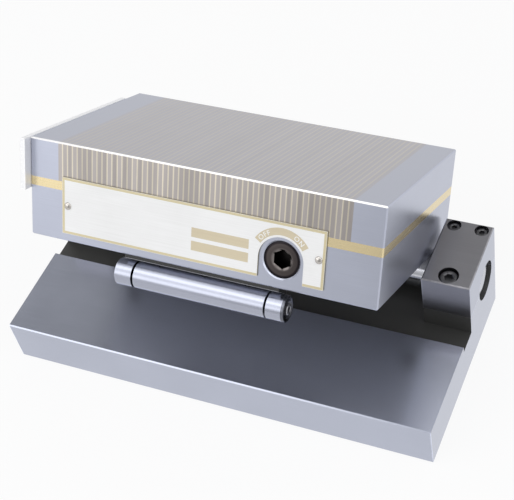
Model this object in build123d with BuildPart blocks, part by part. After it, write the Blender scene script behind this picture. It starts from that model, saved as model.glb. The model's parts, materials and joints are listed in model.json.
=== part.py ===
from build123d import *
from math import cos, radians, sin
import os

os.makedirs("parts", exist_ok=True)

# Permanent magnet sine chuck, drawn tilted with its front edge raised.
# Millimetres. Origin at the centre of the base underside, +X along the
# length, +Y towards the hinge at the back, +Z up.

# Base plate and clamp caps
base_front_margin = 3.5
base_height = 25.6
ground_face_depth = 50.6
floor_height = 21.9
cap_width = 23.8
cap_gap = 2.2
cap_height = 21.9
edge_break = 0.6

# Hinge
shaft_radius = 10.0
shaft_recess = 2.0
shaft_centre_hole = 1.6
centre_hole_depth = 3.2
hinge_clearance = 0.05
level_gap = 1.25
tilt_angle = 30.0

# Chuck outside
chuck_length = 175.0
rear_overhang = 13.8
front_overhang = 4.6
shaft_gap = 0.8
key_floor = 5.0
key_cover = 2.3
separator_thickness = 4.3
top_thickness = 18.6

# Chuck inside
wall_thickness = 12.0
pocket_floor = 6.0
lamination_steel = 1.9
lamination_brass = 0.7
end_block_least = 14.8

# Sine roller
roller_distance = 83.6
roller_radius = 6.35
roller_shift = 1.3
roller_land = 66.2
roller_neck_width = 1.2
roller_neck_radius = 4.6
collar_length = 8.7
collar_recess_radius = 3.9
collar_recess_depth = 2.4
collar_edge = 0.3
end_screw_grip = 5.0
roller_screw_spacing = 22.0
roller_screw_set_back = 2.5
roller_head_sink = 2.8
saddle_front = 3.0
saddle_rear = 7.6
saddle_slope = 26.0
saddle_inset = 4.0
saddle_grip = 4.0

# Hinge saddle
hinge_saddle_width = 17.0
hinge_saddle_inset = 7.5
hinge_saddle_grip = 6.6
shaft_screw_inset = 13.5
shaft_screw_count = 4

# Switching shaft and magnet carriage
key_offset = 41.2
key_head_radius = 8.6
key_head_length = 7.0
key_face_recess = 0.8
key_journal_radius = 5.8
key_clearance = 0.05
hex_across_flats = 8.0
hex_depth = 6.0
eccentric_throw = 2.0
eccentric_radius = 3.2
eccentric_reach = 8.0
slot_play = 0.55
ring_thickness = 1.0
ring_bite = 0.6
ring_stand = 1.1
seal_section = 0.75
carriage_gap = 0.3
carriage_end_gap = 1.0
carriage_side_gap = 0.4
carriage_plate = 2.4
rail_web = 0.6
carriage_wall = 3.4
slide_strip_thickness = 1.5
slide_strip_width = 10.0
slide_strip_inset = 6.0
magnet_thickness = 7.0
magnet_count = 10

# Side stop
stop_thickness = 3.0
stop_rear_gap = 14.3
stop_height = 24.5
stop_forward = 4.7
stop_lift = 6.0
stop_drop = 4.0
stop_screw_depth = 9.5
stop_screw_grip = 8.0
washer_thickness = 1.0
washer_margin = 1.2

# Nameplate
plate_tail = 9.9
plate_height = 27.4
plate_thickness = 0.8
plate_left = 17.5
plate_bottom = 4.1
plate_arch_margin = 2.3
rivet_inset = 3.0
rivet_head_radius = 1.8
rivet_head_height = 0.9
rivet_head_round = 0.7
rivet_shank_radius = 1.0
rivet_shank_length = 4.0

# Screws: thread radius, head radius, head height, hexagon across flats
small_screw = (1.5, 2.75, 3.0, 2.5)
medium_screw = (2.5, 4.25, 5.0, 4.0)
thread_clearance = 0.05
hole_clearance = 0.3
head_clearance = 0.7
head_sink = 1.2
socket_share = 0.5
cap_screw_inset = 5.4
cap_rear_inset = 3.9
cap_front_web = 6.35
cap_rear_web = 0.45
cap_rear_spacing = 13.7
cap_screw_grip = 9.0
top_screw_inset = 7.2
top_screw_side = 9.0
top_screw_grip = 9.0
seat_gap = 0.05

# Sizes and places worked out from the values above
bore_radius = shaft_radius + hinge_clearance
underside_rise = shaft_radius + shaft_gap
hinge_height = base_height + roller_radius + level_gap
hinge_inset = bore_radius + cap_rear_web + small_screw[0] + cap_rear_inset
riser_depth = hinge_inset + bore_radius + cap_front_web + medium_screw[0] + cap_screw_inset
base_length = chuck_length + 2 * (cap_gap + cap_width)
base_depth = hinge_inset + roller_distance + base_front_margin
chuck_width = rear_overhang + roller_distance + front_overhang
key_height = key_floor + key_clearance + key_head_radius
body_height = key_height + key_head_radius + key_clearance + key_cover
chuck_height = body_height + separator_thickness + top_thickness
base_front = -base_depth / 2
base_rear = base_depth / 2
riser_front = base_rear - riser_depth
hinge_y = base_rear - hinge_inset
cap_centre_x = (base_length - cap_width) / 2
cap_top = hinge_height + cap_height
shaft_length = base_length - 2 * shaft_recess
chuck_front = rear_overhang - chuck_width
chuck_middle = rear_overhang - chuck_width / 2
separator_base = underside_rise + body_height
plate_base = separator_base + separator_thickness
work_face = underside_rise + chuck_height
lamination_pitch = lamination_steel + lamination_brass
strip_count = int((chuck_length - 2 * end_block_least - lamination_steel) / lamination_pitch)
pack_length = strip_count * lamination_pitch + lamination_steel
end_block_length = (chuck_length - pack_length) / 2
hinge_saddle_length = chuck_length - 2 * hinge_saddle_inset
neck_half = roller_land / 2 + roller_neck_width
saddle_length = 2 * (neck_half + collar_length - saddle_inset)
pocket_length = chuck_length - 2 * wall_thickness
pocket_width = chuck_width - 2 * wall_thickness
pocket_front = chuck_front + wall_thickness
pocket_base = underside_rise + pocket_floor
key_level = underside_rise + key_height
magnet_travel = 2 * eccentric_throw

# The chuck's own frame: origin on the hinge axis, y towards the back of
# the chuck, z square to its working face.
chuck_frame = Plane(
    origin=(0, hinge_y, hinge_height),
    x_dir=(1, 0, 0),
    z_dir=(0, sin(radians(tilt_angle)), cos(radians(tilt_angle))),
)
chuck_up = Axis(chuck_frame.origin, chuck_frame.z_dir)
chuck_back = Axis(chuck_frame.origin, chuck_frame.y_dir)


def level(height):
    """Plane parallel to the working face, at a height above the hinge axis."""
    return chuck_frame.offset(height)


def from_below(height):
    """Plane parallel to the working face that looks down, x still to the right."""
    origin = chuck_frame.from_local_coords(Vector(0, 0, height))
    return Plane(origin=origin, x_dir=chuck_frame.x_dir, z_dir=-chuck_frame.z_dir)


def facing_front(depth):
    """Plane that looks out of the chuck's front, x right and y up the face."""
    origin = chuck_frame.from_local_coords(Vector(0, depth, 0))
    return Plane(origin=origin, x_dir=chuck_frame.x_dir, z_dir=-chuck_frame.y_dir)


def facing_right(place):
    """Plane that looks out of the chuck's right end, x to the back and y up."""
    origin = chuck_frame.from_local_coords(Vector(place, 0, 0))
    return Plane(origin=origin, x_dir=chuck_frame.y_dir, z_dir=chuck_frame.x_dir)


def facing_left(place):
    """Plane that looks out of the chuck's left end, x to the front and y up."""
    origin = chuck_frame.from_local_coords(Vector(place, 0, 0))
    return Plane(origin=origin, x_dir=-chuck_frame.y_dir, z_dir=-chuck_frame.x_dir)


def spread(plane, points):
    """Copies of a plane with their origins on points given in it."""
    return [
        Plane(
            origin=plane.from_local_coords(Vector(x, y, 0)),
            x_dir=plane.x_dir,
            z_dir=plane.z_dir,
        )
        for x, y in points
    ]


def socket_screws(seats, screw, length):
    """Socket head screws, one on each seat plane, with the thread below it."""
    thread, head, head_height, flats = screw
    with BuildPart() as screws:
        with BuildSketch(*seats):
            Circle(head)
        extrude(amount=head_height)
        with BuildSketch(*seats):
            Circle(thread - thread_clearance)
        extrude(amount=-length)
        with BuildSketch(*[seat.offset(head_height) for seat in seats]):
            RegularPolygon(flats / 2, 6, major_radius=False)
        extrude(amount=-head_height * socket_share, mode=Mode.SUBTRACT)
    return screws


# Base plate: a ground front land for the gauge blocks, a lower floor behind
# it and a riser at each end that holds the lower half of the hinge bore.
cap_points_front = [(side * cap_centre_x, riser_front + cap_screw_inset) for side in (-1, 1)]
cap_points_rear = [
    (side * cap_centre_x + hand * cap_rear_spacing / 2, base_rear - cap_rear_inset)
    for side in (-1, 1)
    for hand in (-1, 1)
]
medium_seat = cap_top - head_sink - medium_screw[2]
small_seat = cap_top - head_sink - small_screw[2]
medium_reach = medium_seat - hinge_height + cap_screw_grip
small_reach = small_seat - hinge_height + cap_screw_grip

with BuildPart() as base_plate:
    with BuildSketch(Plane.YZ.offset(-base_length / 2)):
        with BuildLine():
            Polyline(
                (base_front, 0),
                (base_rear, 0),
                (base_rear, floor_height),
                (base_front + ground_face_depth, floor_height),
                (base_front + ground_face_depth, base_height),
                (base_front, base_height),
                close=True,
            )
        make_face()
    extrude(amount=base_length)
    with BuildSketch(Plane.XY.offset(floor_height)):
        with Locations(
            *[(side * cap_centre_x, (riser_front + base_rear) / 2) for side in (-1, 1)]
        ):
            Rectangle(cap_width, riser_depth)
    extrude(amount=hinge_height - floor_height)
    front_edges = base_plate.edges().filter_by(Axis.X).group_by(Axis.Y)[0]
    chamfer(front_edges, edge_break)
    bottom_edges = base_plate.faces().sort_by(Axis.Z)[0].edges().filter_by(Axis.Y)
    chamfer(bottom_edges, edge_break)
    with BuildSketch(Plane.YZ.offset(-base_length / 2)):
        with Locations((hinge_y, hinge_height)):
            Circle(bore_radius)
    extrude(amount=base_length, mode=Mode.SUBTRACT)
    with BuildSketch(Plane.XY.offset(hinge_height)):
        with Locations(*cap_points_front):
            Circle(medium_screw[0])
        with Locations(*cap_points_rear):
            Circle(small_screw[0])
    extrude(amount=-cap_screw_grip - hole_clearance, mode=Mode.SUBTRACT)
base_plate.part.label = "base_plate"
export_step(base_plate.part, "parts/base_plate.step")

# Clamp caps: one on each riser, with the upper half of the hinge bore. The
# front screw pinches the shaft and holds the tilt.
for side, side_name in ((-1, "left"), (1, "right")):
    with BuildPart() as clamp_cap:
        with BuildSketch(Plane.XY.offset(hinge_height)):
            with Locations((side * cap_centre_x, (riser_front + base_rear) / 2)):
                Rectangle(cap_width, riser_depth)
        extrude(amount=cap_height)
        chamfer(clamp_cap.faces().sort_by(Axis.Z)[-1].edges(), edge_break)
        with BuildSketch(Plane.YZ.offset(side * cap_centre_x - cap_width)):
            with Locations((hinge_y, hinge_height)):
                Circle(bore_radius)
        extrude(amount=2 * cap_width, mode=Mode.SUBTRACT)
        front_points = [point for point in cap_points_front if point[0] * side > 0]
        rear_points = [point for point in cap_points_rear if point[0] * side > 0]
        with Locations(*[(x, y, cap_top) for x, y in front_points]):
            CounterBoreHole(
                radius=medium_screw[0] + hole_clearance,
                counter_bore_radius=medium_screw[1] + head_clearance,
                counter_bore_depth=head_sink + medium_screw[2],
                depth=cap_height,
            )
        with Locations(*[(x, y, cap_top) for x, y in rear_points]):
            CounterBoreHole(
                radius=small_screw[0] + hole_clearance,
                counter_bore_radius=small_screw[1] + head_clearance,
                counter_bore_depth=head_sink + small_screw[2],
                depth=cap_height,
            )
    clamp_cap.part.label = "clamp_cap_" + side_name
    export_step(clamp_cap.part, "parts/clamp_cap_" + side_name + ".step")

# Cap screws: the larger clamping screw at the front of each cap, and the
# smaller pair behind the bore.
front_seats = spread(Plane.XY.offset(medium_seat), cap_points_front)
cap_screws_front = socket_screws(front_seats, medium_screw, medium_reach)
cap_screws_front.part.label = "cap_screws_front"
export_step(cap_screws_front.part, "parts/cap_screws_front.step")

rear_seats = spread(Plane.XY.offset(small_seat), cap_points_rear)
cap_screws_rear = socket_screws(rear_seats, small_screw, small_reach)
cap_screws_rear.part.label = "cap_screws_rear"
export_step(cap_screws_rear.part, "parts/cap_screws_rear.step")

# Hinge shaft: one ground bar through both bores, with a centre hole in each
# end and counterbored cross holes for the screws that hold it to the chuck.
shaft_screw_first = shaft_screw_inset - hinge_saddle_length / 2
shaft_screw_spacing = -2 * shaft_screw_first / (shaft_screw_count - 1)
shaft_screw_places = [
    (shaft_screw_first + index * shaft_screw_spacing, 0) for index in range(shaft_screw_count)
]
shaft_seat = -shaft_radius + medium_screw[2] + head_sink
with BuildPart() as hinge_shaft:
    with BuildSketch(facing_right(-shaft_length / 2)):
        Circle(shaft_radius)
    extrude(amount=shaft_length)
    chamfer(hinge_shaft.edges().filter_by(GeomType.CIRCLE), edge_break)
    for end in (facing_left(-shaft_length / 2), facing_right(shaft_length / 2)):
        with BuildSketch(end):
            Circle(shaft_centre_hole)
        extrude(amount=-centre_hole_depth, mode=Mode.SUBTRACT)
    with BuildSketch(level(0)):
        with Locations(*shaft_screw_places):
            Circle(medium_screw[0] + hole_clearance)
    extrude(amount=shaft_radius, both=True, mode=Mode.SUBTRACT)
    with BuildSketch(level(shaft_seat)):
        with Locations(*shaft_screw_places):
            Circle(medium_screw[1] + hole_clearance)
    extrude(amount=-shaft_radius, mode=Mode.SUBTRACT)
hinge_shaft.part.label = "hinge_shaft"
export_step(hinge_shaft.part, "parts/hinge_shaft.step")

# Hinge saddle: a bar with a hollow seat that carries the shaft under the body.
with BuildPart() as hinge_saddle:
    with BuildSketch(level(shaft_radius - hinge_saddle_grip)):
        Rectangle(hinge_saddle_length, hinge_saddle_width)
    extrude(amount=underside_rise - shaft_radius + hinge_saddle_grip)
    with BuildSketch(facing_right(-hinge_saddle_length / 2)):
        Circle(shaft_radius + seat_gap)
    extrude(amount=hinge_saddle_length, mode=Mode.SUBTRACT)
    with BuildSketch(level(underside_rise)):
        with Locations(*shaft_screw_places):
            Circle(medium_screw[0] + hole_clearance)
    extrude(amount=-underside_rise, mode=Mode.SUBTRACT)
hinge_saddle.part.label = "hinge_saddle"
export_step(hinge_saddle.part, "parts/hinge_saddle.step")

# Hinge shaft screws: up through the shaft and its saddle into the body floor.
shaft_screw_length = underside_rise - shaft_seat + pocket_floor - 2 * hole_clearance
shaft_seats = spread(from_below(shaft_seat), [(x, -y) for x, y in shaft_screw_places])
hinge_shaft_screws = socket_screws(shaft_seats, medium_screw, shaft_screw_length)
hinge_shaft_screws.part.label = "hinge_shaft_screws"
export_step(hinge_shaft_screws.part, "parts/hinge_shaft_screws.step")

# Chuck body: the lower housing, a walled box open at the top. The magnet
# carriage slides in its pocket and the switching shaft turns in its front wall.
key_step = chuck_front + key_face_recess + key_head_length
plate_arch_radius = key_head_radius + plate_arch_margin
plate_length = key_offset + plate_arch_radius + plate_tail + chuck_length / 2 - plate_left
plate_centre = plate_left - chuck_length / 2 + plate_length / 2
plate_middle = underside_rise + plate_bottom + plate_height / 2
rivet_points = [
    (plate_centre + side * (plate_length / 2 - rivet_inset), plate_middle) for side in (-1, 1)
]
top_screw_points = [
    (side * (chuck_length / 2 - top_screw_inset), chuck_middle + place)
    for side in (-1, 1)
    for place in (-chuck_width / 2 + top_screw_side, 0, chuck_width / 2 - top_screw_side)
]
top_screw_seat = underside_rise + medium_screw[2] + head_sink
top_screw_length = plate_base - top_screw_seat + top_screw_grip
roller_screw_line = -roller_distance + roller_screw_set_back
roller_screw_places = [
    (roller_shift + place * roller_screw_spacing, roller_screw_line) for place in (-1, 0, 1)
]
roller_seat = -roller_radius + small_screw[2] + roller_head_sink

with BuildPart() as chuck_body:
    with BuildSketch(level(underside_rise)):
        with Locations((0, chuck_middle)):
            Rectangle(chuck_length, chuck_width)
    extrude(amount=body_height)
    outline = chuck_body.edges().filter_by(chuck_up)
    chamfer(outline, edge_break)
    chamfer(chuck_body.faces().sort_by(chuck_up)[0].edges(), edge_break)
    with BuildSketch(level(pocket_base)):
        with Locations((0, chuck_middle)):
            Rectangle(pocket_length, pocket_width)
    extrude(amount=body_height, mode=Mode.SUBTRACT)
    with BuildSketch(facing_front(chuck_front)):
        with Locations((key_offset, key_level)):
            Circle(key_head_radius + key_clearance)
    extrude(amount=-key_face_recess - key_head_length, mode=Mode.SUBTRACT)
    with BuildSketch(facing_front(chuck_front)):
        with Locations((key_offset, key_level)):
            Circle(key_journal_radius + key_clearance)
    extrude(amount=-wall_thickness, mode=Mode.SUBTRACT)
    rim = chuck_body.edges().filter_by(GeomType.CIRCLE).group_by(chuck_back)[0]
    chamfer(rim, edge_break)
    with BuildSketch(facing_front(chuck_front)):
        with Locations(*rivet_points):
            Circle(rivet_shank_radius + thread_clearance)
    extrude(amount=-rivet_shank_length - hole_clearance, mode=Mode.SUBTRACT)
    with BuildSketch(level(underside_rise)):
        with Locations(*shaft_screw_places):
            Circle(medium_screw[0])
        with Locations(*roller_screw_places):
            Circle(small_screw[0])
    extrude(amount=pocket_floor, mode=Mode.SUBTRACT)
    with BuildSketch(level(underside_rise)):
        with Locations(*top_screw_points):
            Circle(medium_screw[0] + hole_clearance)
    extrude(amount=body_height, mode=Mode.SUBTRACT)
    with BuildSketch(level(underside_rise)):
        with Locations(*top_screw_points):
            Circle(medium_screw[1] + hole_clearance)
    extrude(amount=medium_screw[2] + head_sink, mode=Mode.SUBTRACT)
chuck_body.part.label = "chuck_body"
export_step(chuck_body.part, "parts/chuck_body.step")

# Brass separator: a frame all round between the body and the top plate.
with BuildPart() as brass_separator:
    with BuildSketch(level(separator_base)):
        with Locations((0, chuck_middle)):
            Rectangle(chuck_length, chuck_width)
            Rectangle(pocket_length, pocket_width, mode=Mode.SUBTRACT)
        with Locations(*top_screw_points):
            Circle(medium_screw[0] + hole_clearance, mode=Mode.SUBTRACT)
    extrude(amount=separator_thickness)
    corner_edges = brass_separator.edges().filter_by(chuck_up).filter_by(
        lambda edge: abs(edge.center().X) > chuck_length / 2 - edge_break
    )
    chamfer(corner_edges, edge_break)
brass_separator.part.label = "brass_separator"
export_step(brass_separator.part, "parts/brass_separator.step")

# End blocks: solid steel ends of the top plate, tapped from below. The left
# one is also tapped in its end for the side stop.
stop_screw_reach = (chuck_width / 2 - top_screw_side) / 2
stop_points = [
    (-(chuck_middle + side * stop_screw_reach), work_face - stop_screw_depth) for side in (-1, 1)
]
for side, side_name in ((-1, "left"), (1, "right")):
    block_centre = side * (chuck_length - end_block_length) / 2
    with BuildPart() as end_block:
        with BuildSketch(level(plate_base)):
            with Locations((block_centre, chuck_middle)):
                Rectangle(end_block_length, chuck_width)
        extrude(amount=top_thickness)
        outer = end_block.edges().filter_by(chuck_up).filter_by(
            lambda edge: abs(edge.center().X) > chuck_length / 2 - edge_break
        )
        chamfer(outer, edge_break)
        chamfer(end_block.edges().filter_by(Axis.X).group_by(chuck_up)[-1], edge_break)
        top_outer = end_block.edges().filter_by(chuck_back).group_by(chuck_up)[-1]
        chamfer(top_outer.sort_by(Axis.X)[0 if side < 0 else -1], edge_break)
        with BuildSketch(level(plate_base)):
            with Locations(*[point for point in top_screw_points if point[0] * side > 0]):
                Circle(medium_screw[0])
        extrude(amount=top_screw_grip + hole_clearance, mode=Mode.SUBTRACT)
        if side < 0:
            with BuildSketch(facing_left(-chuck_length / 2)):
                with Locations(*stop_points):
                    Circle(medium_screw[0])
            extrude(amount=-stop_screw_grip - hole_clearance, mode=Mode.SUBTRACT)
    end_block.part.label = "end_block_" + side_name
    export_step(end_block.part, "parts/end_block_" + side_name + ".step")


def lamination_stack(first_centre, thickness, count):
    """Upright strips across the chuck, one pitch apart, edges broken at the top."""
    front = chuck_middle - chuck_width / 2
    back = chuck_middle + chuck_width / 2
    starts = [first_centre + index * lamination_pitch - thickness / 2 for index in range(count)]
    with BuildPart() as stack:
        with BuildSketch(*[facing_right(start) for start in starts]):
            with BuildLine():
                Polyline(
                    (front, plate_base),
                    (back, plate_base),
                    (back, work_face - edge_break),
                    (back - edge_break, work_face),
                    (front + edge_break, work_face),
                    (front, work_face - edge_break),
                    close=True,
                )
            make_face()
        extrude(amount=thickness)
    return stack


# Pole laminations and brass strips: thin steel plates parted by brass, brazed
# into one pack between the end blocks and ground level with them.
first_plate = -(pack_length - lamination_steel) / 2
pole_laminations = lamination_stack(first_plate, lamination_steel, strip_count + 1)
pole_laminations.part.label = "pole_laminations"
export_step(pole_laminations.part, "parts/pole_laminations.step")

first_strip = -pack_length / 2 + lamination_steel + lamination_brass / 2
brass_strips = lamination_stack(first_strip, lamination_brass, strip_count)
brass_strips.part.label = "brass_strips"
export_step(brass_strips.part, "parts/brass_strips.step")

# Top plate screws: up through the body and the separator into the end blocks.
top_seats = spread(from_below(top_screw_seat), [(x, -y) for x, y in top_screw_points])
top_plate_screws = socket_screws(top_seats, medium_screw, top_screw_length)
top_plate_screws.part.label = "top_plate_screws"
export_step(top_plate_screws.part, "parts/top_plate_screws.step")

# Nameplate: a thin printed plate on the front, notched round the key socket.
with BuildPart() as nameplate:
    with BuildSketch(facing_front(chuck_front)):
        with Locations((plate_centre, plate_middle)):
            Rectangle(plate_length, plate_height)
        with Locations((key_offset, key_level)):
            Circle(plate_arch_radius, mode=Mode.SUBTRACT)
        with Locations((key_offset, key_level - plate_height / 2)):
            Rectangle(2 * plate_arch_radius, plate_height, mode=Mode.SUBTRACT)
        with Locations(*rivet_points):
            Circle(rivet_shank_radius + thread_clearance, mode=Mode.SUBTRACT)
    extrude(amount=plate_thickness)
nameplate.part.label = "nameplate"
export_step(nameplate.part, "parts/nameplate.step")

# Nameplate rivets: round heads on the plate, shanks driven into the body.
with BuildPart() as nameplate_rivets:
    with BuildSketch(facing_front(chuck_front - plate_thickness)):
        with Locations(*rivet_points):
            Circle(rivet_head_radius)
    extrude(amount=rivet_head_height)
    head_rims = nameplate_rivets.edges().filter_by(GeomType.CIRCLE).group_by(chuck_back)[0]
    fillet(head_rims, rivet_head_round)
    with BuildSketch(facing_front(chuck_front - plate_thickness)):
        with Locations(*rivet_points):
            Circle(rivet_shank_radius)
    extrude(amount=-plate_thickness - rivet_shank_length)
nameplate_rivets.part.label = "nameplate_rivets"
export_step(nameplate_rivets.part, "parts/nameplate_rivets.step")

# Side stop: a flat plate on the left end with two upright slots, set level
# with the working face and able to rise above it.
stop_length = chuck_width + stop_forward - stop_rear_gap
stop_middle = chuck_front - stop_forward + stop_length / 2
stop_top = work_face
slot_length = stop_lift + stop_drop
with BuildPart() as side_stop:
    with BuildSketch(facing_left(-chuck_length / 2)):
        with Locations((-stop_middle, stop_top - stop_height / 2)):
            Rectangle(stop_length, stop_height)
        for across, height in stop_points:
            with Locations((across, height + (stop_drop - stop_lift) / 2)):
                SlotCenterToCenter(
                    slot_length, 2 * (medium_screw[0] + hole_clearance), rotation=90,
                    mode=Mode.SUBTRACT,
                )
    extrude(amount=stop_thickness)
    chamfer(side_stop.faces().sort_by(Axis.X)[0].outer_wire().edges(), edge_break)
side_stop.part.label = "side_stop"
export_step(side_stop.part, "parts/side_stop.step")

# Side stop washers and screws.
washer_face = -chuck_length / 2 - stop_thickness
with BuildPart() as side_stop_washers:
    with BuildSketch(facing_left(washer_face)):
        with Locations(*stop_points):
            Circle(medium_screw[1] + washer_margin)
            Circle(medium_screw[0] + hole_clearance, mode=Mode.SUBTRACT)
    extrude(amount=washer_thickness)
side_stop_washers.part.label = "side_stop_washers"
export_step(side_stop_washers.part, "parts/side_stop_washers.step")

stop_screw_length = washer_thickness + stop_thickness + stop_screw_grip
stop_seats = spread(facing_left(washer_face - washer_thickness), stop_points)
side_stop_screws = socket_screws(stop_seats, medium_screw, stop_screw_length)
side_stop_screws.part.label = "side_stop_screws"
export_step(side_stop_screws.part, "parts/side_stop_screws.step")

# Sine saddle: the bar under the front of the body that seats the roller from
# above and behind. Its lip slopes back in front, clear of the roller's crest.
saddle_base = roller_radius - saddle_grip
seat_radius = roller_radius + seat_gap
slope_sine = sin(radians(saddle_slope))
slope_cosine = cos(radians(saddle_slope))
with BuildPart() as sine_saddle:
    with BuildSketch(facing_right(roller_shift - saddle_length / 2)):
        with Locations((-roller_distance, 0)):
            Polygon(
                (-saddle_front, underside_rise),
                (-saddle_front, (seat_radius + saddle_front * slope_sine) / slope_cosine),
                (seat_radius * slope_sine, seat_radius * slope_cosine),
                (0, saddle_base),
                (saddle_rear, saddle_base),
                (saddle_rear, underside_rise),
                align=None,
            )
            Circle(seat_radius, mode=Mode.SUBTRACT)
    extrude(amount=saddle_length)
    with BuildSketch(level(underside_rise)):
        with Locations(*roller_screw_places):
            Circle(small_screw[0] + hole_clearance)
    extrude(amount=-underside_rise, mode=Mode.SUBTRACT)
sine_saddle.part.label = "sine_saddle"
export_step(sine_saddle.part, "parts/sine_saddle.step")

# Sine roller: a ground bar whose land rests on the gauge blocks, with a
# narrow neck at each end that the collars push against.
with BuildPart() as sine_roller:
    with BuildSketch(facing_right(roller_shift - roller_land / 2)):
        with Locations((-roller_distance, 0)):
            Circle(roller_radius)
    extrude(amount=roller_land)
    with BuildSketch(facing_right(roller_shift - neck_half)):
        with Locations((-roller_distance, 0)):
            Circle(roller_neck_radius)
    extrude(amount=2 * neck_half)
    with BuildSketch(facing_right(roller_shift - neck_half)):
        with Locations((-roller_distance, 0)):
            Circle(small_screw[0])
    extrude(amount=2 * neck_half, mode=Mode.SUBTRACT)
    with BuildSketch(level(0)):
        with Locations(*roller_screw_places):
            Circle(small_screw[0] + hole_clearance)
    extrude(amount=roller_radius, both=True, mode=Mode.SUBTRACT)
    with BuildSketch(level(roller_seat)):
        with Locations(*roller_screw_places):
            Circle(small_screw[1] + hole_clearance)
    extrude(amount=-roller_radius, mode=Mode.SUBTRACT)
sine_roller.part.label = "sine_roller"
export_step(sine_roller.part, "parts/sine_roller.step")

# Roller collars: ground rings of the roller's size, one at each end.
for side, side_name in ((-1, "left"), (1, "right")):
    collar_inner = roller_shift + side * neck_half
    plane_of = facing_right if side > 0 else facing_left
    across = -roller_distance * side
    with BuildPart() as roller_collar:
        with BuildSketch(plane_of(collar_inner)):
            with Locations((across, 0)):
                Circle(roller_radius)
                Circle(small_screw[0] + hole_clearance, mode=Mode.SUBTRACT)
        extrude(amount=collar_length)
        chamfer(
            roller_collar.faces().sort_by(Axis.X)[0 if side < 0 else -1].outer_wire().edges(),
            collar_edge,
        )
        with BuildSketch(plane_of(collar_inner + side * collar_length)):
            with Locations((across, 0)):
                Circle(collar_recess_radius)
        extrude(amount=-collar_recess_depth, mode=Mode.SUBTRACT)
    roller_collar.part.label = "roller_collar_" + side_name
    export_step(roller_collar.part, "parts/roller_collar_" + side_name + ".step")

# Roller end screws: one in each collar's recess, threaded into the roller.
recess_floor = neck_half + collar_length - collar_recess_depth
end_screw_length = collar_length - collar_recess_depth + end_screw_grip
left_seats = spread(facing_left(roller_shift - recess_floor), [(roller_distance, 0)])
right_seats = spread(facing_right(roller_shift + recess_floor), [(-roller_distance, 0)])
roller_end_screws = socket_screws(left_seats + right_seats, small_screw, end_screw_length)
roller_end_screws.part.label = "roller_end_screws"
export_step(roller_end_screws.part, "parts/roller_end_screws.step")

# Sine roller screws: up through the roller and its saddle into the body floor.
roller_screw_length = underside_rise - roller_seat + pocket_floor - 2 * hole_clearance
roller_seats = spread(from_below(roller_seat), [(x, -y) for x, y in roller_screw_places])
sine_roller_screws = socket_screws(roller_seats, small_screw, roller_screw_length)
sine_roller_screws.part.label = "sine_roller_screws"
export_step(sine_roller_screws.part, "parts/sine_roller_screws.step")

# Switching shaft: a socket head that turns in the front wall, a smaller
# journal behind it and an eccentric pin that reaches into the carriage.
groove_place = pocket_front + seat_gap
journal_end = groove_place + ring_thickness + ring_stand
head_front = chuck_front + key_face_recess
seal_middle = head_front + key_head_length / 2
seal_radius = key_head_radius - seal_section
with BuildPart() as switch_shaft:
    with BuildSketch(facing_front(head_front)):
        with Locations((key_offset, key_level)):
            Circle(key_head_radius)
    extrude(amount=-key_head_length)
    chamfer(switch_shaft.edges().filter_by(GeomType.CIRCLE).group_by(chuck_back)[0], edge_break)
    with BuildSketch(facing_front(key_step)):
        with Locations((key_offset, key_level)):
            Circle(key_journal_radius)
    extrude(amount=-(journal_end - key_step))
    with BuildSketch(facing_front(journal_end)):
        with Locations((key_offset - eccentric_throw, key_level)):
            Circle(eccentric_radius)
    extrude(amount=-eccentric_reach)
    with BuildSketch(facing_front(groove_place)):
        with Locations((key_offset, key_level)):
            Circle(key_journal_radius)
            Circle(key_journal_radius - ring_bite, mode=Mode.SUBTRACT)
    extrude(amount=-ring_thickness, mode=Mode.SUBTRACT)
    with BuildSketch(facing_front(seal_middle - seal_section)):
        with Locations((key_offset, key_level)):
            Circle(key_head_radius)
            Circle(key_head_radius - 2 * seal_section - seat_gap, mode=Mode.SUBTRACT)
    extrude(amount=-2 * seal_section, mode=Mode.SUBTRACT)
    with BuildSketch(facing_front(head_front)):
        with Locations((key_offset, key_level)):
            RegularPolygon(hex_across_flats / 2, 6, major_radius=False, rotation=30)
    extrude(amount=-hex_depth, mode=Mode.SUBTRACT)
switch_shaft.part.label = "switch_shaft"
export_step(switch_shaft.part, "parts/switch_shaft.step")

# Shaft seal: a square section rubber ring in the head's groove, against coolant.
seal_half = seal_section - seat_gap / 2
with BuildPart() as shaft_seal:
    with BuildSketch(facing_front(seal_middle - seal_half)):
        with Locations((key_offset, key_level)):
            Circle(seal_radius + seal_half)
            Circle(seal_radius - seal_half, mode=Mode.SUBTRACT)
    extrude(amount=-2 * seal_half)
shaft_seal.part.label = "shaft_seal"
export_step(shaft_seal.part, "parts/shaft_seal.step")

# Retaining ring: an open spring ring in the journal's groove, inside the wall.
with BuildPart() as retaining_ring:
    with BuildSketch(facing_front(groove_place)):
        with Locations((key_offset, key_level)):
            Circle(key_journal_radius + ring_stand)
            Circle(key_journal_radius - ring_bite + seat_gap, mode=Mode.SUBTRACT)
        with Locations((key_offset, key_level + key_journal_radius)):
            Rectangle(key_journal_radius, 2 * key_journal_radius, mode=Mode.SUBTRACT)
    extrude(amount=-ring_thickness)
retaining_ring.part.label = "retaining_ring"
export_step(retaining_ring.part, "parts/retaining_ring.step")

# Slide strips: two brass strips on the pocket floor that the carriage runs on.
with BuildPart() as slide_strips:
    strip_reach = pocket_width / 2 - slide_strip_width / 2 - slide_strip_inset
    with BuildSketch(level(pocket_base)):
        with Locations(*[(0, chuck_middle + side * strip_reach) for side in (-1, 1)]):
            Rectangle(pocket_length, slide_strip_width)
    extrude(amount=slide_strip_thickness)
slide_strips.part.label = "slide_strips"
export_step(slide_strips.part, "parts/slide_strips.step")

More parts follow.
